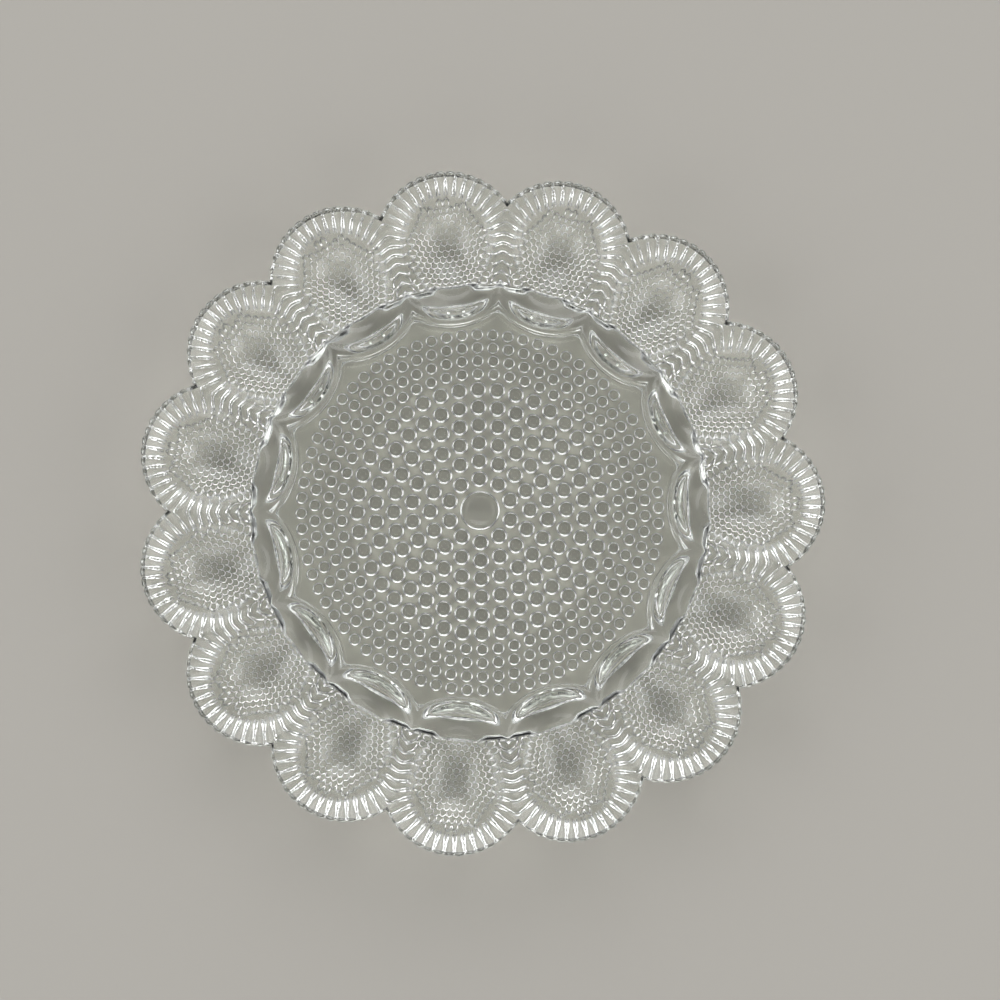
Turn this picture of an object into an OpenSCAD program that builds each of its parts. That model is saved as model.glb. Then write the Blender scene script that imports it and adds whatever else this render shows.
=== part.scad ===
// Pressed glass egg platter: a ring of scalloped egg wells around a shallow round dish.
// It stands right side up on its foot ring at z = 0, with its axis on +Z and the middle of
// one well along +X. Sizes in millimetres, angles in degrees.

/* [Centre dish] */
// Radius from the plate's axis to the innermost point of each well's rim
dish_r = 78.5; // [70:0.5:85]
// Height of the dish floor's upper face above the table
floor_h = 9; // [8:0.5:10.5]
// Thickness of the dish floor
floor_t = 4; // [3:0.5:5]
// Diameter of the large hobnail under the middle of the floor
hobnail_d = 16.5; // [12:0.5:20]
// Height that the large hobnail stands out below the floor
hobnail_h = 2.5; // [1.5:0.25:3.5]

/* [Egg cups] */
// Inside radius of the egg cup at its blunt end
cup_r = 15; // [13:0.5:17.5]
// Radius of the arc that tapers the cup towards the dish
cup_taper_r = 36; // [32:1:42]
// Thickness of the egg cup's wall
cup_t = 3; // [2.5:0.25:3.5]
// Angle at which the cup's axis climbs towards the scallop tip
cup_tilt = 4; // [2:0.5:6]
// Height of the underside of the cup's blunt end above the table
cup_lift = 2.3; // [1:0.1:5]

/* [Flared rims] */
// Width of the rim from the cup's blunt end to the scallop tip
flare_w = 10.5; // [8:0.25:14]
// Width of the rim from the cup's tapered end to the dish
crest_w = 6.8; // [5:0.1:9]
// Rise of the rim from the dish to the scallop tip
rim_rise = 8; // [5:0.5:11]
// Depth of the cup's axis below the rim plane, at the blunt end
cup_drop = 1.5; // [0.75:0.25:2.25]
// Depth of the flared rim's dished surface at the middle of the well
lip_depth = 6; // [5:0.5:7]
// Thickness of the flared rim
lip_t = 3; // [2.5:0.25:3.5]

/* [Foot] */
// Distance from the innermost point of each well's rim out to the foot ring
foot_gap = 7; // [5:0.5:9]
// Width of the foot ring where it rests on the table
foot_w = 8; // [6:0.5:10]
// Extra width on each side of the foot ring where it joins the plate
foot_draft = 0.8; // [0.4:0.1:1.5]

/* [Hidden] */
$fn = 96;
well_count = 15;
// Half of the angle from one well to the next
half_pitch = 180 / well_count;
// Length of the tapered end of the cup, along its axis
taper_l = sqrt(cup_taper_r * cup_taper_r - (cup_taper_r - cup_r) * (cup_taper_r - cup_r));
// Length of a well from the dish to the scallop tip
well_l = crest_w + taper_l + cup_r + flare_w;
// Each well's rim is one circle in plan, cut off by the ridges beside it
scallop_r = well_l / 2;
well_r = dish_r + scallop_r;
rim_r = dish_r + well_l;
// The rim plane of a well leans up from the dish to the scallop tip
rim_slope = rim_rise / well_l;
rim_tilt = atan(rim_slope);
// Centre of the cup's blunt end
cup_shift = scallop_r - flare_w - cup_r;
cup_x = well_r + cup_shift;
cup_z = cup_lift + cup_t + cup_r;
// Heights of the rim plane at the middle of the well and at the scallop tip
rim_mid_h = cup_z + cup_drop - cup_shift * rim_slope;
rim_h = rim_mid_h + rim_rise / 2;
// Sphere whose lower face is the upper face of the flared rim
lip_r = (scallop_r * scallop_r + lip_depth * lip_depth) / (2 * lip_depth);
floor_z = floor_h - floor_t;
foot_in_r = dish_r + foot_gap;
foot_out_r = foot_in_r + foot_w;
// Outer radius of the foot ring and gallery where they join
gallery_r = foot_out_r + foot_draft;
// Radius of the sphere that the large hobnail is cut from
hobnail_r = (hobnail_d * hobnail_d / 4 + hobnail_h * hobnail_h) / (2 * hobnail_h);
// Length by which a cutting shape passes the face that it cuts
over = 1;

// Turns a shape drawn along +X into the place of well number i, counted from 1
module at_well(i) {
    rotate([0, 0, (i - 1) * 2 * half_pitch])
        children();
}

// Upright cylinder inside the plan outline of one well's rim
module well_outline(z_low, z_high) {
    translate([well_r, 0, z_low])
        cylinder(r = scallop_r, h = z_high - z_low);
}

// Ball whose underside is the flared rim's face, set off downwards by the given amount
module lip_ball(set_off) {
    translate([well_r, 0, rim_mid_h])
        rotate([0, -rim_tilt, 0])
            translate([0, 0, lip_r - lip_depth])
                sphere(r = lip_r + set_off);
}

// Half outline of the egg: a round blunt end and a long arc that tapers to the other end
module egg_profile(set_off) {
    union() {
        intersection() {
            circle(r = cup_r + set_off);
            square(size = 2 * cup_r);
        }
        intersection() {
            translate([cup_r - cup_taper_r, 0])
                circle(r = cup_taper_r + set_off);
            translate([0, -2 * cup_taper_r])
                square(size = 2 * cup_taper_r);
        }
    }
}

// Egg-shaped solid with its blunt end towards the scallop tip, thickened by the given amount
module egg(set_off) {
    translate([cup_x, 0, cup_z])
        rotate([0, 90 - cup_tilt, 0])
            rotate_extrude()
                egg_profile(set_off);
}

// The sector of the plate that belongs to one well
module sector() {
    reach = rim_r * 1.2;
    linear_extrude(height = rim_h + over)
        polygon([[0, 0],
                 [reach * cos(half_pitch), -reach * sin(half_pitch)],
                 [reach * cos(half_pitch), reach * sin(half_pitch)]]);
}

// Flat floor of the dish, bordered by the inner arcs of the wells' rims
module centre_floor() {
    color([0.80, 0.88, 0.84, 0.35])
        difference() {
            translate([0, 0, floor_z])
                cylinder(r = gallery_r, h = floor_t);
            for (i = [1 : well_count])
                at_well(i)
                    well_outline(floor_z - over, floor_h + over);
        }
}

// Large domed hobnail under the middle of the floor
module centre_hobnail() {
    color([0.80, 0.88, 0.84, 0.35])
        intersection() {
            translate([0, 0, floor_z - hobnail_h + hobnail_r])
                sphere(r = hobnail_r);
            translate([0, 0, floor_z - hobnail_h - over])
                cylinder(d = hobnail_d + 2 * over, h = hobnail_h + over);
        }
}

// Ring that the plate stands on, with draft on both sides
module foot_ring() {
    color([0.80, 0.88, 0.84, 0.35])
        difference() {
            rotate_extrude()
                polygon([[foot_in_r - foot_draft, floor_z],
                         [foot_in_r, 0],
                         [foot_out_r, 0],
                         [gallery_r, floor_z]]);
            for (i = [1 : well_count])
                at_well(i)
                    egg(cup_t);
        }
}

// Scalloped wall between the dish floor and the wells, on top of the foot ring
module gallery_wall() {
    color([0.80, 0.88, 0.84, 0.35])
        difference() {
            intersection() {
                translate([0, 0, floor_z])
                    cylinder(r = gallery_r, h = rim_h - floor_z);
                union() {
                    for (i = [1 : well_count])
                        at_well(i)
                            well_outline(floor_z - over, rim_h + over);
                }
            }
            for (i = [1 : well_count])
                at_well(i)
                    union() {
                        lip_ball(lip_t);
                        egg(cup_t);
                    }
        }
}

// One egg-shaped cup, open at the flared rim's upper face
module egg_cup(i) {
    color([0.80, 0.88, 0.84, 0.35])
        at_well(i)
            difference() {
                egg(cup_t);
                egg(0);
                lip_ball(0);
            }
}

// One well's flared rim, from the ridge on one side to the ridge on the other
module fluted_rim(i) {
    color([0.80, 0.88, 0.84, 0.35])
        at_well(i)
            difference() {
                intersection() {
                    sector();
                    well_outline(0, rim_h + over);
                    lip_ball(lip_t);
                }
                lip_ball(0);
                egg(cup_t);
            }
}

centre_floor();
centre_hobnail();
foot_ring();
gallery_wall();
egg_cup(1);  // egg_cup_01
egg_cup(2);  // egg_cup_02
egg_cup(3);  // egg_cup_03
egg_cup(4);  // egg_cup_04
egg_cup(5);  // egg_cup_05
egg_cup(6);  // egg_cup_06
egg_cup(7);  // egg_cup_07
egg_cup(8);  // egg_cup_08
egg_cup(9);  // egg_cup_09
egg_cup(10);  // egg_cup_10
egg_cup(11);  // egg_cup_11
egg_cup(12);  // egg_cup_12
egg_cup(13);  // egg_cup_13
egg_cup(14);  // egg_cup_14
egg_cup(15);  // egg_cup_15
fluted_rim(1);  // fluted_rim_01
fluted_rim(2);  // fluted_rim_02
fluted_rim(3);  // fluted_rim_03
fluted_rim(4);  // fluted_rim_04
fluted_rim(5);  // fluted_rim_05
fluted_rim(6);  // fluted_rim_06
fluted_rim(7);  // fluted_rim_07
fluted_rim(8);  // fluted_rim_08
fluted_rim(9);  // fluted_rim_09
fluted_rim(10);  // fluted_rim_10
fluted_rim(11);  // fluted_rim_11
fluted_rim(12);  // fluted_rim_12
fluted_rim(13);  // fluted_rim_13
fluted_rim(14);  // fluted_rim_14
fluted_rim(15);  // fluted_rim_15
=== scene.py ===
"""A clear pressed-glass egg platter on a pale floor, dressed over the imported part.

The upper face is smooth in the dish and in the cups, with shallow flutes on the flared rims. The
underside carries the pressed pattern: hobnails under the dish floor and the egg cups, and deeper flutes
under the rims. Every mesh is worked out in millimetres, and is in metres once it is built.
"""

import math

import bmesh
import bpy
import numpy as np
from mathutils import Matrix, Vector


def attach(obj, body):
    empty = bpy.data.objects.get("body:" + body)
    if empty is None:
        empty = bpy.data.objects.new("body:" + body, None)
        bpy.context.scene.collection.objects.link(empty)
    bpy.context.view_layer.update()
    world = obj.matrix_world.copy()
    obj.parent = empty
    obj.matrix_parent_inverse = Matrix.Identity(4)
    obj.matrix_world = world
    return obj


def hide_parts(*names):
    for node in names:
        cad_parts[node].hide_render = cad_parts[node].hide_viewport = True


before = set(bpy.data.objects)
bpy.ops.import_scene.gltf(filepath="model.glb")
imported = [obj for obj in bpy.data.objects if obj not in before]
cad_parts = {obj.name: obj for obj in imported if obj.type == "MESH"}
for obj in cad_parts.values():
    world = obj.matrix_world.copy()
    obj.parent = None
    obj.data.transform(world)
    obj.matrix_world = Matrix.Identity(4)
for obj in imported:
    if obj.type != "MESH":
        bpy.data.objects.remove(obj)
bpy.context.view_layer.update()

# Millimetres in a metre
MM = 1000.0

# Sizes of the pressing
WELLS = 15
PITCH = 2 * math.pi / WELLS
HALF = PITCH / 2
DISH_R = 78.5
FLOOR_TOP = 9.0
FLOOR_UNDER = 5.0
CENTRE_HOBNAIL_R = 8.25
CENTRE_HOBNAIL_H = 2.5
CUP_R = 15.0
CUP_TAPER_R = 36.0
CUP_T = 3.0
CUP_TILT = math.radians(4.0)
CUP_LIFT = 2.3
CUP_DROP = 1.5
FLARE_W = 10.5
CREST_W = 6.8
RIM_RISE = 8.0
LIP_DEPTH = 6.0
LIP_T = 3.0
FOOT_GAP = 7.0
FOOT_W = 8.0
FOOT_DRAFT = 0.8

# Places that follow from the sizes
WELL_L = CREST_W + math.sqrt(CUP_TAPER_R ** 2 - (CUP_TAPER_R - CUP_R) ** 2) + CUP_R + FLARE_W
SCALLOP_R = WELL_L / 2
WELL_R = DISH_R + SCALLOP_R
RIM_TILT = math.atan(RIM_RISE / WELL_L)
CUP_SHIFT = SCALLOP_R - FLARE_W - CUP_R
CUP_X = WELL_R + CUP_SHIFT
CUP_Z = CUP_LIFT + CUP_T + CUP_R
RIM_MID = CUP_Z + CUP_DROP - CUP_SHIFT * RIM_RISE / WELL_L
LIP_R = (SCALLOP_R ** 2 + LIP_DEPTH ** 2) / (2 * LIP_DEPTH)
LIP_X = WELL_R - math.sin(RIM_TILT) * (LIP_R - LIP_DEPTH)
LIP_Z = RIM_MID + math.cos(RIM_TILT) * (LIP_R - LIP_DEPTH)
FOOT_IN = DISH_R + FOOT_GAP
FOOT_OUT = FOOT_IN + FOOT_W
FOOT_TOP = FOOT_IN - FOOT_DRAFT
RING_R = FOOT_OUT + FOOT_DRAFT
# Radius of the notch between two scallops
NOTCH_R = WELL_R * math.cos(HALF) + math.sqrt(SCALLOP_R ** 2 - (WELL_R * math.sin(HALF)) ** 2)

# Roundings left by the mould and by fire polishing
CUP_BLEND = 10.0
RIDGE_BLEND = 2.0
EDGE_ROUND = 1.1
FILLET_R = 2.0
FOOT_ROUND = 2.4
FOOT_BENDS = np.radians([0.0, 22.0, 45.0, 68.0, 90.0])
# Slope from which a cup's side runs on straight
CUP_STEEP = 2.0
# How far the cup's tapered tip is opened out, and over what length
TIP_OPEN = 9.0
TIP_REACH = 28.0

# Rolled crest above the dish's border: half width, length of the fall behind it and height
BEAD_HALF = 2.2
BEAD_FALL = 4.0
BEAD_H = 1.7
# Bead below the dish's border: widest, share of the room before the foot, height and sharpness of its top
ARC_W = 4.6
ARC_SHARE = 0.8
ARC_H = 3.0
ARC_POWER = 1.15
# Least room between the floor's underside and the foot, and least height of the joint with a well
UNDER_GAP = 0.6
JOINT_H = 0.2

# Egg-shaped outline of the hobnails under a cup
OVAL_X = 113.0
OVAL_FRONT = 19.3
OVAL_BACK = 37.0
OVAL_HALF = 17.8
# The hobnails inside it: spacing along and between rows, radius, height and distance kept from the outline
SCALE_STEP = 3.0
SCALE_ROW = 2.6
SCALE_R = 1.5
SCALE_H = 1.15
SCALE_INSET = 0.5
# How round every hobnail's dome is
DOME_POWER = 0.6

# Flutes round a rim: how many from the scallop tip to the notch, their angle, and the spacing of the rest
TIP_FLUTES = 7
FLUTE_ANGLE = math.atan2(NOTCH_R * math.sin(HALF), NOTCH_R * math.cos(HALF) - OVAL_X) / TIP_FLUTES
FLUTE_STEP = 4.2
# Slant of the flutes towards the dish, the length that it sets in over and its limit
FLUTE_SLANT = 0.6
SLANT_REACH = 22.0
SLANT_MOST = 1.2
# Flutes under a rim: height, and the distance from the hobnails, length and point of their inner ends
FLUTE_H = 1.9
FLUTE_START = 0.3
FLUTE_END = 1.2
FLUTE_POINT = 2.0
# Flutes above: height, distance from the hobnails, and the lengths of their rise from there and the ring
FLUTE_TOP_H = 0.6
TOP_START = 1.5
TOP_RISE = 7.0
TOP_RING_RISE = 6.0
# Depth of the crimps along the rim's edge
CRIMP_H = 0.8
# Lengths over which the pattern rises from the ring and turns upright at the ridges
PATTERN_RISE = 1.2
LEAN_RISE = 1.5

# Groups of hobnail rings under the dish floor: rings, radius of the first, step to the next, hobnails in
# the first, more in each next, and the radius and height of a hobnail
HOBNAIL_GROUPS = [(6, 13.3, 7.56, 10, 6, 3.45, 1.9),
                  (4, 57.7, 5.6, 54, 6, 2.55, 1.5)]
# A fuller hobnail is flatter, with a steeper border
HOBNAIL_FULLNESS = 2.4
CENTRE_FULLNESS = 3.4
# Flat border round each hobnail, and points along each side of its cell
CELL_MARGIN = 0.18
SIDE = 5

# Rows of points, as shares of the width that they cross
HOBNAIL_ROWS = np.array([1.0, 0.93, 0.75, 0.42])
CENTRE_ROWS = np.array([1.0, 0.985, 0.955, 0.91, 0.85, 0.76, 0.64, 0.5, 0.34, 0.17])
FILLET_ROWS = np.array([1.0, 0.8, 0.6, 0.4, 0.22, 0.1, 0.03, 0.0])
CREST_ROWS = np.array([0.0, 0.02, 0.08, 0.18, 0.32, 0.5, 0.75, 1.0, 1.3, 1.7, 2.1])
ARC_ROWS = np.array([0.0, 0.15, 0.32, 0.46, 0.54, 0.68, 0.85, 1.0])
EDGE_ROWS = np.array([0.7, 0.42, 0.2, 0.06, 0.0])
# Counts of rows and columns; the columns across one well are shared by every piece, so that the seams match
COLS = 144
CENTRE_COLS = 72
DISH_COLS = 60
RING_ROWS = 12
WELL_TOP_ROWS = 64
WELL_UNDER_ROWS = 132
# Passes that settle the height of a tilted cup, and the step that its slope is measured over
EGG_PASSES = 5
SLOPE_STEP = 0.02
# Least number that is divided by
TINY = 1e-6
# Angle from which an edge stays sharp
CREASE = {"dish_floor": math.radians(30),
          "foot_and_wall": math.radians(50),
          "egg_well_01": math.radians(89)}


# The faces of the pressing

def blend_min(a, b, width):
    """The lower of two faces, rounded over where they cross."""
    h = np.clip(0.5 + 0.5 * (b - a) / width, 0.0, 1.0)
    return b * (1 - h) + a * h - width * h * (1 - h)


def lip_face(x, y, off):
    """Dished face of a flared rim, set off downwards."""
    return LIP_Z - np.sqrt((LIP_R + off) ** 2 - (x - LIP_X) ** 2 - y ** 2)


def egg_face(x, y, off):
    """Lower face of the egg-shaped cup, set off outwards; it runs on straight where it gets steep."""
    c, s = math.cos(CUP_TILT), math.sin(CUP_TILT)
    slant = math.hypot(1.0, CUP_STEEP)
    z = np.full_like(x, CUP_Z - CUP_R)
    for _ in range(EGG_PASSES):
        along = (x - CUP_X) * c + (z - CUP_Z) * s
        taper = CUP_R - CUP_TAPER_R + np.sqrt(np.maximum((CUP_TAPER_R + off) ** 2 - along ** 2, 0.0))
        radius = np.where(along > 0, CUP_R + off, taper)
        opened = TIP_OPEN * np.clip(-along / TIP_REACH, 0.0, 1.0) ** 2
        across = np.hypot(y, np.where(along > 0, along, opened))
        depth = np.sqrt(np.maximum(radius ** 2 - across ** 2, 0.0))
        steep = across * slant > CUP_STEEP * radius
        depth = np.where(steep, slant * radius - CUP_STEEP * across, depth)
        z = CUP_Z + ((x - CUP_X) * s - depth) / c
    return z


def ridge_round(x, y, z):
    """How far the ridge between two wells is rounded off, from the plane between them."""
    side = np.abs(y)
    gap = x * math.sin(HALF) - side * math.cos(HALF)
    slope = (side * math.cos(HALF) - (x - LIP_X) * math.sin(HALF)) / (LIP_Z - z)
    return np.maximum(slope, 0.0) * np.maximum(RIDGE_BLEND - gap, 0.0) ** 2 / (2 * RIDGE_BLEND)


def upper(x, y):
    """Upper face of a well before the rim's shallow flutes."""
    lip = lip_face(x, y, 0.0)
    lip = lip - ridge_round(x, y, lip)
    return blend_min(lip, egg_face(x, y, 0.0), CUP_BLEND)


def under(x, y):
    """Underside of a well before the pattern is pressed into it."""
    return blend_min(lip_face(x, y, LIP_T), egg_face(x, y, CUP_T), CUP_BLEND)


def roll(gap, radius):
    """Drop of a rounded edge at a distance from it."""
    inside = np.clip(radius - gap, 0.0, radius)
    return radius - np.sqrt(radius ** 2 - inside ** 2)


def bead(gap):
    """Height of the rolled crest along the dish, at a distance from the dish."""
    rise = np.sqrt(np.clip(1.0 - (gap / BEAD_HALF - 1.0) ** 2, 0.0, 1.0))
    fall = 0.5 + 0.5 * np.cos(math.pi * np.clip((gap - BEAD_HALF) / BEAD_FALL, 0.0, 1.0))
    return BEAD_H * np.where(gap < BEAD_HALF, rise, fall)


# The pressed pattern

def oval(x, y):
    """Distance outside the egg-shaped outline of a well's hobnails."""
    length = np.where(x > OVAL_X, OVAL_FRONT, OVAL_BACK)
    share = np.hypot((x - OVAL_X) / length, y / OVAL_HALF)
    slope = np.hypot((x - OVAL_X) / length ** 2, y / OVAL_HALF ** 2) / np.maximum(share, TINY)
    return (share - 1.0) / np.maximum(slope, TINY)


def scales(x, y):
    """Height of the small hobnails under a cup, which lie in offset rows like scales."""
    high = np.zeros_like(x)
    nearest = np.round((x - OVAL_X) / SCALE_ROW)
    for k in (-1, 0, 1):
        row = nearest + k
        xc = OVAL_X + row * SCALE_ROW
        shift = np.where(np.mod(row, 2) == 0, 0.0, SCALE_STEP / 2)
        yc = np.round((y - shift) / SCALE_STEP) * SCALE_STEP + shift
        share = np.hypot(x - xc, y - yc) / SCALE_R
        dome = SCALE_H * np.clip(1.0 - share ** 2, 0.0, 1.0) ** DOME_POWER
        high = np.maximum(high, np.where(oval(xc, yc) < -SCALE_INSET, dome, 0.0))
    return high


def flute_number(x, y):
    """Counts the flutes round a well from the scallop tip; whole numbers are their middles."""
    side = np.abs(y)
    behind = OVAL_X - x
    front = np.arctan2(side, x - OVAL_X) / FLUTE_ANGLE
    slant = FLUTE_SLANT * np.clip(behind / SLANT_REACH, 0.0, SLANT_MOST)
    back = (math.pi / 2) / FLUTE_ANGLE + (behind + slant * (side - OVAL_HALF)) / FLUTE_STEP
    return np.where(x > OVAL_X, front, back)


def flute_arch(x, y):
    """1 along the middle of each flute and 0 in the groove between two."""
    q = flute_number(x, y)
    q = q - np.round(q)
    return np.sqrt(np.clip(1.0 - (2 * q) ** 2, 0.0, 1.0))


def flutes(x, y):
    """Height of the round flutes under a rim, with round inner ends at the hobnails."""
    arch = flute_arch(x, y)
    start = np.clip((oval(x, y) - FLUTE_START - FLUTE_POINT * (1.0 - arch)) / FLUTE_END, 0.0, 1.0)
    return FLUTE_H * arch * np.sqrt(1.0 - (1.0 - start) ** 2)


def top_flutes(x, y):
    """Height of the shallow flutes on a rim's upper face, which die out towards the cup and the ring."""
    from_cup = np.clip((oval(x, y) - TOP_START) / TOP_RISE, 0.0, 1.0)
    from_ring = np.clip((np.hypot(x, y) - RING_R) / TOP_RING_RISE, 0.0, 1.0)
    start = from_cup * from_ring
    return FLUTE_TOP_H * flute_arch(x, y) * start * start * (3 - 2 * start)


# Outlines seen from above

def turn(n):
    """Angles of a full ring of points."""
    return np.arange(n) * (2 * math.pi / n)


def fold(a):
    """Angle from the middle of the nearest well."""
    return a - np.round(a / PITCH) * PITCH


def dish_edge(a):
    """Radius of the dish's scalloped border at an angle from a well's middle."""
    return WELL_R * np.cos(a) - np.sqrt(SCALLOP_R ** 2 - (WELL_R * np.sin(a)) ** 2)


def under_edge(a):
    """Radius where the floor's underside ends: the scalloped border, cut off by the foot's inner wall."""
    return np.minimum(dish_edge(a), FOOT_TOP - UNDER_GAP)


def rim_edge(a):
    """Radius of the scalloped, crimped rim at an angle from a well's middle."""
    r = WELL_R * np.cos(a) + np.sqrt(SCALLOP_R ** 2 - (WELL_R * np.sin(a)) ** 2)
    return r + CRIMP_H * (flute_arch(r * np.cos(a), r * np.sin(a)) - 1.0)


# Meshes

GLASS, SEAM = 0, 1


class Net:
    """Collects points and faces, each face with its material."""

    def __init__(self):
        self.points = []
        self.faces = []
        self.stuff = []
        self.count = 0

    def add(self, x, y, z):
        """Adds a grid of points and returns their numbers."""
        x, y, z = np.broadcast_arrays(x, y, z)
        n = np.arange(self.count, self.count + x.size).reshape(x.shape)
        self.points.append(np.stack([x, y, z], axis=-1).reshape(-1, 3))
        self.count += n.size
        return n

    def polar(self, r, a, z):
        """Adds points given by radius, angle and height."""
        return self.add(r * np.cos(a), r * np.sin(a), z)

    def face(self, corners, stuff=GLASS):
        """Adds one face."""
        self.faces.append([int(c) for c in corners])
        self.stuff.append(stuff)

    def grid(self, n, stuff=GLASS, flip=False):
        """Fills a grid of point numbers with four-sided faces."""
        f = np.stack([n[:-1, :-1], n[1:, :-1], n[1:, 1:], n[:-1, 1:]], axis=-1).reshape(-1, 4)
        self.faces.extend((f[:, ::-1] if flip else f).tolist())
        self.stuff.extend([stuff] * len(f))

    def zip(self, inner, inner_a, outer, outer_a, flip=False):
        """Joins two closed rings of points with triangles, in the order of their angles."""
        i, j = 0, 0
        m, n = len(inner), len(outer)
        while i < m or j < n:
            next_i = inner_a[i + 1] if i + 1 < m else inner_a[0] + 2 * math.pi + (i + 1 - m)
            next_j = outer_a[j + 1] if j + 1 < n else outer_a[0] + 2 * math.pi + (j + 1 - n)
            a, b = inner[i % m], outer[j % n]
            if j < n and (i >= m or next_j <= next_i):
                f = (a, b, outer[(j + 1) % n])
                j += 1
            else:
                f = (a, b, inner[(i + 1) % m])
                i += 1
            self.face(f[::-1] if flip else f)

    def build(self, name, materials):
        """Makes the object, in metres, smooth but for creases and the borders between its materials."""
        mesh = bpy.data.meshes.new(name)
        mesh.from_pydata((np.concatenate(self.points) / MM).tolist(), [], self.faces)
        for m in materials:
            mesh.materials.append(m)
        mesh.polygons.foreach_set("material_index", self.stuff)
        mesh.polygons.foreach_set("use_smooth", [True] * len(self.faces))
        mesh.update()
        b = bmesh.new()
        b.from_mesh(mesh)
        for e in b.edges:
            first, second = e.link_faces
            steep = first.normal.angle(second.normal, 0.0) > CREASE[name]
            e.smooth = first.material_index == second.material_index and not steep
        b.to_mesh(mesh)
        b.free()
        piece = bpy.data.objects.new(name, mesh)
        bpy.context.scene.collection.objects.link(piece)
        return piece


def closed(n):
    """A ring of point columns with the first repeated after the last."""
    return np.concatenate([n, n[:, :1]], axis=1)


# Dish floor

def boss(net, centre_r, centre_a, border, radius, height, rows, fullness):
    """One floor hobnail: rings of points from its border inwards to its tip. Returns the border's points."""
    cx, cy = centre_r * math.cos(centre_a), centre_r * math.sin(centre_a)
    share = rows[:, None]
    ring = net.add(cx + radius * share * np.cos(border), cy + radius * share * np.sin(border),
                   FLOOR_UNDER - height * (1.0 - share ** fullness) ** DOME_POWER)
    net.grid(closed(ring))
    tip = net.add(np.array([cx]), np.array([cy]), np.array([FLOOR_UNDER - height]))[0]
    last = closed(ring)[-1]
    for k in range(len(border)):
        net.face((last[k], tip, last[k + 1]))
    return ring[0]


def hobnail_ring(net, ring_r, count, radius, height, odd):
    """A ring of hobnails, each in its own cell. Returns its inner and outer border and their angles."""
    step = 2 * math.pi / count
    half = radius + CELL_MARGIN
    start = step / 2 if odd else step
    line = start + np.arange(count * (SIDE - 1)) * step / (SIDE - 1) - step
    inner = net.polar(ring_r - half, line, FLOOR_UNDER)
    outer = net.polar(ring_r + half, line, FLOOR_UNDER)
    rows = np.linspace(ring_r - half, ring_r + half, SIDE)[1:-1]
    sides = net.polar(rows[None, :], line[:: SIDE - 1][:, None], FLOOR_UNDER)
    points = np.concatenate(net.points)
    for k in range(count):
        run = (np.arange(SIDE) + k * (SIDE - 1)) % len(line)
        cell = list(outer[run]) + list(sides[(k + 1) % count][::-1])
        cell += list(inner[run][::-1]) + list(sides[k])
        middle = line[k * (SIDE - 1)] + step / 2
        away = points[cell, :2] - ring_r * np.array([math.cos(middle), math.sin(middle)])
        border = np.unwrap(np.arctan2(away[:, 1], away[:, 0]))
        rim = boss(net, ring_r, middle, border, radius, height, HOBNAIL_ROWS, HOBNAIL_FULLNESS)
        net.grid(closed(np.array([cell, rim])))
    return inner, outer, line


def floor_underside(net):
    """The hobnails under the floor, ring by ring from the middle. Returns the last border and its angles."""
    last_a = turn(CENTRE_COLS)
    last = boss(net, 0.0, 0.0, last_a, CENTRE_HOBNAIL_R, CENTRE_HOBNAIL_H, CENTRE_ROWS, CENTRE_FULLNESS)
    odd = 0
    for rings, first_r, step_r, first_count, more, radius, height in HOBNAIL_GROUPS:
        for k in range(rings):
            ring_r = first_r + step_r * k
            inner, outer, line = hobnail_ring(net, ring_r, first_count + more * k, radius, height, odd)
            net.zip(last, last_a, inner, line, flip=True)
            last, last_a = outer, line
            odd = 1 - odd
    return last, last_a


def make_floor(materials):
    """Dish floor: flat above, hobnails below, with a fillet up to the wall round it."""
    net = Net()
    last, last_a = floor_underside(net)
    a = turn(WELLS * COLS)
    border = net.polar(under_edge(fold(a)), a, FLOOR_UNDER)
    net.zip(last, last_a, border, a, flip=True)
    gap = FILLET_R * FILLET_ROWS[:, None]
    top = net.polar(dish_edge(fold(a)) - gap, a, FLOOR_TOP + roll(gap, FILLET_R))
    net.grid(closed(top))
    mid_a = turn(DISH_COLS)
    mid = net.polar(DISH_R / 2, mid_a, FLOOR_TOP)
    net.zip(mid, mid_a, top[0], a)
    tip = net.polar(np.zeros(1), np.zeros(1), FLOOR_TOP)[0]
    for k in range(DISH_COLS):
        net.face((tip, mid[k], mid[(k + 1) % DISH_COLS]))
    net.grid(closed(np.stack([border, top[-1]])), SEAM, flip=True)
    return net.build("dish_floor", materials)


# Foot ring and wall

def ring_top(net, a):
    """Inner ends of all the wells, from the rolled crest along the dish outwards. Returns the points."""
    t = fold(a)
    edge = dish_edge(t)
    near = BEAD_HALF * CREST_ROWS[:, None]
    far = near[-1] + (RING_R - edge - near[-1]) * np.linspace(0, 1, RING_ROWS + 1)[1:, None]
    r = edge + np.concatenate([np.broadcast_to(near, (len(near), len(edge))), far])
    x, y = r * np.cos(t), r * np.sin(t)
    inset = np.maximum(SCALLOP_R - np.hypot(x - WELL_R, y), 0.0)
    top = net.polar(r, a, upper(x, y) + bead(inset))
    net.grid(closed(top))
    return top


def foot_section():
    """Radius and height of points round the foot's section, from its inner top to its outer top."""
    inner = [(FOOT_IN + FOOT_ROUND * (1 - math.cos(bend)), FOOT_ROUND * (1 - math.sin(bend)))
             for bend in FOOT_BENDS]
    outer = [(FOOT_IN + FOOT_OUT - r, z) for r, z in inner[::-1]]
    return [(FOOT_TOP, FLOOR_UNDER)] + inner + outer + [(RING_R, FLOOR_UNDER)]


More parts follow.
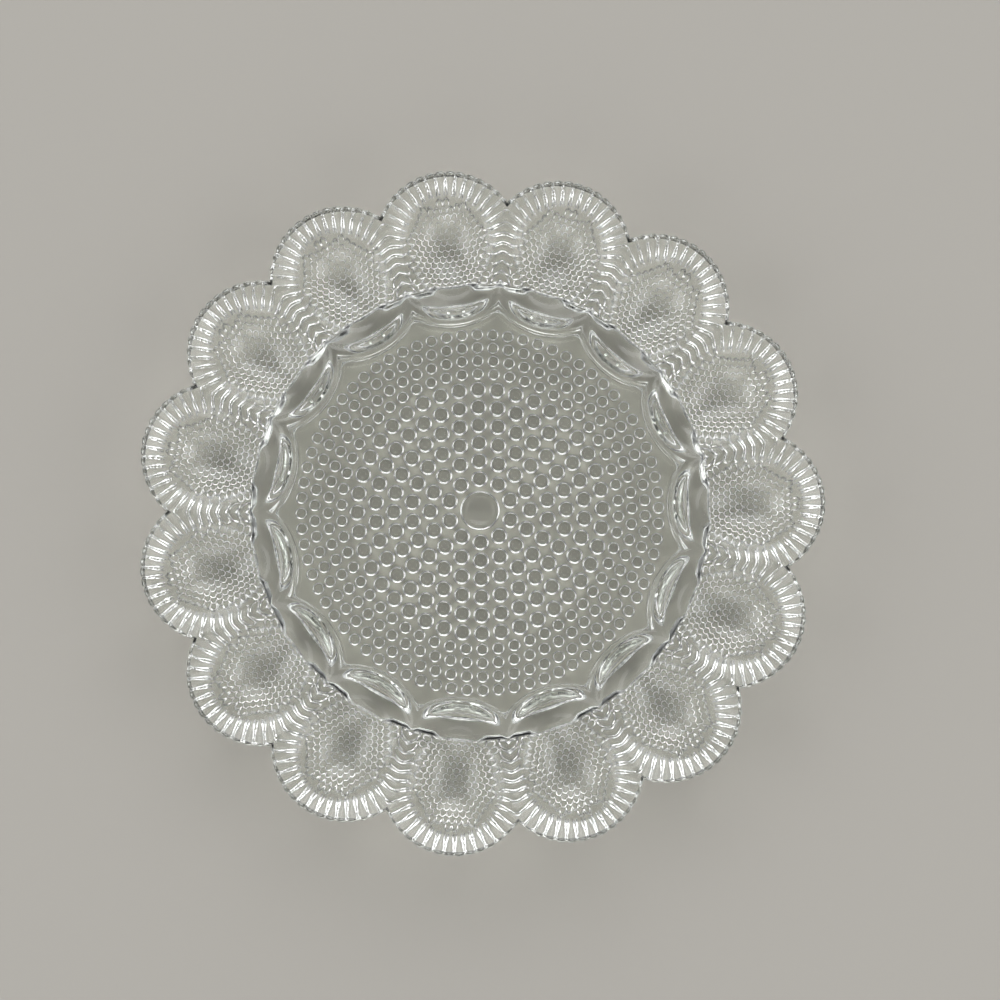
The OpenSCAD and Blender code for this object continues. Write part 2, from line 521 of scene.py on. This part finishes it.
def ring_underside(net, a):
    """Bead below the dish's border, small where the arcs meet, and the foot. Returns the points."""
    start = under_edge(fold(a))
    share = ARC_ROWS[:, None]
    width = np.minimum(ARC_W, ARC_SHARE * (FOOT_TOP - start))
    drop = ARC_H * width / ARC_W * (1.0 - np.abs(2 * share - 1.0) ** ARC_POWER)
    section = foot_section()
    r = [start + width * share] + [np.full((1, len(a)), point[0]) for point in section]
    z = [FLOOR_UNDER - drop] + [np.full((1, len(a)), point[1]) for point in section]
    low = net.polar(np.concatenate(r), a, np.concatenate(z))
    net.grid(closed(low), flip=True)
    return low


def make_ring(materials):
    """Foot ring and scalloped wall, with the inner ends of all the wells on top."""
    net = Net()
    a = turn(WELLS * COLS)
    t = fold(a)
    top = ring_top(net, a)
    wall = net.polar(dish_edge(t), a, FLOOR_TOP + FILLET_R)
    net.grid(closed(np.stack([wall, top[0]])))
    low = ring_underside(net, a)
    net.grid(closed(np.stack([low[0], wall])), SEAM)
    joint = np.maximum(under(RING_R * np.cos(t), RING_R * np.sin(t)), FLOOR_UNDER + JOINT_H)
    join = net.polar(RING_R, a, joint)
    net.grid(closed(np.stack([join, low[-1]])))
    net.grid(closed(np.stack([top[-1], join])), SEAM)
    return net.build("foot_and_wall", materials)


# Egg wells

def well_rows(edge, rows):
    """Radii of a well face's rows, closer together over the rounded edge, and their distance from it."""
    share = np.linspace(0, 1, rows)[:, None]
    inset = EDGE_ROUND * EDGE_ROWS
    far = RING_R * (1 - share) + (edge - EDGE_ROUND) * share
    r = np.concatenate([far, edge - inset[:, None]])
    gap = np.concatenate([np.full(rows, EDGE_ROUND), inset])
    return r, np.broadcast_to(gap[:, None], r.shape)


def well_underside(net, a, edge):
    """Underside of a well with its pattern, which stands out square from the face. Returns the points."""
    r, gap = well_rows(edge, WELL_UNDER_ROWS)
    x, y = r * np.cos(a), r * np.sin(a)
    nx = (under(x + SLOPE_STEP, y) - under(x - SLOPE_STEP, y)) / (2 * SLOPE_STEP)
    ny = (under(x, y + SLOPE_STEP) - under(x, y - SLOPE_STEP)) / (2 * SLOPE_STEP)
    size = np.sqrt(nx ** 2 + ny ** 2 + 1)
    high = (scales(x, y) + flutes(x, y)) * np.clip((r - RING_R) / PATTERN_RISE, 0.0, 1.0)
    from_ridge = np.clip((HALF - np.abs(a)) * r / LEAN_RISE, 0.0, 1.0)
    from_edge = np.clip(gap / EDGE_ROUND, 0.0, 1.0)
    lean = high * from_ridge * from_edge / size
    low = net.add(x + lean * nx, y + lean * ny, under(x, y) - high / size + roll(gap, EDGE_ROUND))
    net.grid(low, flip=True)
    return low


def make_well(materials):
    """One egg well outside the foot ring, along +X: hobnails and flutes below, shallow flutes above."""
    net = Net()
    a = np.linspace(-HALF, HALF, COLS + 1)
    edge = rim_edge(a)
    r, gap = well_rows(edge, WELL_TOP_ROWS)
    x, y = r * np.cos(a), r * np.sin(a)
    top = net.add(x, y, upper(x, y) + top_flutes(x, y) - roll(gap, EDGE_ROUND))
    net.grid(top)
    low = well_underside(net, a, edge)
    net.grid(np.stack([top[-1], low[-1]]))
    net.grid(np.stack([low[0], top[0]]), SEAM)
    net.face(list(low[:, 0]) + list(top[::-1, 0]), SEAM)
    net.face(list(top[:, -1]) + list(low[::-1, -1]), SEAM)
    return net.build("egg_well_01", materials)


# Materials

def linear(hex_colour):
    """An sRGB hex colour as linear red, green, blue and alpha."""
    parts = [int(hex_colour[i:i + 2], 16) / 255 for i in (1, 3, 5)]
    return [c / 12.92 if c <= 0.04045 else ((c + 0.055) / 1.055) ** 2.4 for c in parts] + [1.0]


def add_node(tree, kind, output, inputs, **settings):
    """Adds a node with its settings, sets or links its inputs, and returns the named output."""
    node = tree.nodes.new(kind)
    for name, value in settings.items():
        setattr(node, name, value)
    for socket, value in inputs.items():
        if isinstance(value, bpy.types.NodeSocket):
            tree.links.new(value, node.inputs[socket])
        else:
            node.inputs[socket].default_value = value
    return node.outputs[output] if output else None


def new_material(name):
    """An empty node material and its node tree."""
    material = bpy.data.materials.new(name)
    material.use_nodes = True
    material.node_tree.nodes.clear()
    return material, material.node_tree


# Waves that fire polishing leaves in the glass: their width and height
RIPPLE_W = 9.0
RIPPLE_H = 0.06


def pressed_glass():
    """Clear soda-lime glass, fire-polished: bright edges, a trace of olive and a faint ripple."""
    material, tree = new_material("Clear soda-lime glass, pressed and fire-polished")
    place = add_node(tree, "ShaderNodeTexCoord", "Object", {})
    ripple = add_node(tree, "ShaderNodeTexNoise", "Fac",
                      {"Vector": place, "Scale": MM / RIPPLE_W, "Detail": 1.0})
    normal = add_node(tree, "ShaderNodeBump", "Normal",
                      {"Height": ripple, "Strength": 1.0, "Distance": RIPPLE_H / MM})
    shader = add_node(tree, "ShaderNodeBsdfPrincipled", "BSDF",
                      {"Base Color": linear("#fbfdf9"), "Roughness": 0.0, "IOR": 1.52,
                       "Transmission Weight": 1.0, "Normal": normal})
    add_node(tree, "ShaderNodeOutputMaterial", None, {"Surface": shader})
    return material


def running_on():
    """Where one region of the pressing runs on into the next: no surface to see."""
    material, tree = new_material("Glass running on, no surface")
    shader = add_node(tree, "ShaderNodeBsdfTransparent", "BSDF", {"Color": linear("#ffffff")})
    add_node(tree, "ShaderNodeOutputMaterial", None, {"Surface": shader})
    return material


def floor_paint():
    """Matt paint, rolled on: an even pale grey with no shine."""
    material, tree = new_material("Pale studio floor, matt paint")
    shader = add_node(tree, "ShaderNodeBsdfPrincipled", "BSDF",
                      {"Base Color": linear("#b2aea6"), "Roughness": 0.9})
    add_node(tree, "ShaderNodeOutputMaterial", None, {"Surface": shader})
    return material


# The pieces

glass = [pressed_glass(), running_on()]

dish = make_floor(glass)
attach(dish, "root")
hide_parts("centre_floor", "centre_hobnail")

ring = make_ring(glass)
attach(ring, "root")
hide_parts("foot_ring", "gallery_wall")

first = make_well(glass)
for number in range(1, WELLS + 1):
    if number == 1:
        well = first
    else:
        well = first.copy()
        well.data = first.data.copy()
        well.name = "egg_well_%02d" % number
        well.data.transform(Matrix.Rotation((number - 1) * PITCH, 4, "Z"))
        bpy.context.scene.collection.objects.link(well)
    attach(well, "root")
    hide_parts("egg_cup_%02d" % number, "fluted_rim_%02d" % number)

# Studio floor, a hair below the foot, in metres

FLOOR_SIZE = 60.0
FLOOR_DROP = 0.0003
bpy.ops.mesh.primitive_plane_add(size=FLOOR_SIZE, location=(0, 0, -FLOOR_DROP))
ground = bpy.context.object
ground.name = "floor"
ground.data.materials.append(floor_paint())

# Soft studio light: a sky that is brighter towards the horizon, with soft windows low round the plate

SKY_TOP = 0.25
SKY_LOW = 0.7
# Direction, half width in degrees and brightness
WINDOWS = [((0.1, 0.9, 0.45), 36, 2.2),
           ((-0.9, 0.0, 0.45), 28, 1.85),
           ((0.85, -0.2, 0.45), 26, 1.75),
           ((-0.1, -0.9, 0.4), 24, 1.3)]
# How quickly a window brightens from its border inwards
WINDOW_STEEP = 3
MATH, VECTOR = "ShaderNodeMath", "ShaderNodeVectorMath"

world = bpy.data.worlds.new("Studio")
bpy.context.scene.world = world
world.use_nodes = True
sky = world.node_tree
ray = add_node(sky, "ShaderNodeTexCoord", "Generated", {})
up = add_node(sky, VECTOR, "Value", {0: ray, 1: (0.0, 0.0, 1.0)}, operation="DOT_PRODUCT")
up = add_node(sky, MATH, "Value", {0: up, 1: 0.0}, operation="MAXIMUM")
low = add_node(sky, MATH, "Value", {0: 1.0, 1: up}, operation="SUBTRACT")
low = add_node(sky, MATH, "Value", {0: low, 1: low}, operation="MULTIPLY")
light = add_node(sky, MATH, "Value", {0: low, 1: SKY_LOW, 2: SKY_TOP}, operation="MULTIPLY_ADD")
for place, width, bright in WINDOWS:
    border = math.cos(math.radians(width))
    towards = Vector(place).normalized()
    facing = add_node(sky, VECTOR, "Value", {0: ray, 1: towards}, operation="DOT_PRODUCT")
    inside = add_node(sky, MATH, "Value", {0: facing, 1: border}, operation="SUBTRACT")
    share = add_node(sky, MATH, "Value", {0: inside, 1: WINDOW_STEEP / (1 - border)},
                     operation="MULTIPLY", use_clamp=True)
    light = add_node(sky, MATH, "Value", {0: share, 1: bright, 2: light}, operation="MULTIPLY_ADD")
sky.links.new(light, sky.nodes["Background"].inputs["Strength"])
sky.nodes["Background"].inputs["Color"].default_value = linear("#fcfdff")

# Camera, almost straight above the plate, in metres

TILT = math.radians(5.5)
TURN = math.radians(-0.9)
DISTANCE = 0.65
SENSOR_MM = 36.0
PICTURE_PIXELS = 1000.0
# Radius of the plate in the picture, and its real radius and height
PLATE_PIXELS = 346.0
PLATE_R = 0.140
PLATE_H = 0.025
FOCAL_PIXELS = PLATE_PIXELS * (DISTANCE - PLATE_H) / PLATE_R
# How far the plate lies from the middle of the picture, as shares of the picture's width
SHIFT_X = 0.020
SHIFT_Y = 0.012
camera = bpy.data.cameras.new("camera")
camera.sensor_width = SENSOR_MM
camera.lens = FOCAL_PIXELS * SENSOR_MM / PICTURE_PIXELS
camera.shift_x = SHIFT_X
camera.shift_y = SHIFT_Y
eye = bpy.data.objects.new("camera", camera)
eye.matrix_world = (Matrix.Rotation(TURN, 4, "Z") @ Matrix.Rotation(TILT, 4, "X")
                    @ Matrix.Translation((0, 0, DISTANCE)))
bpy.context.scene.collection.objects.link(eye)
bpy.context.scene.camera = eye
bpy.context.scene.view_settings.view_transform = "Standard"
# Clear glass passes the light on to the floor sharply
bpy.context.scene.cycles.blur_glossy = 0.0
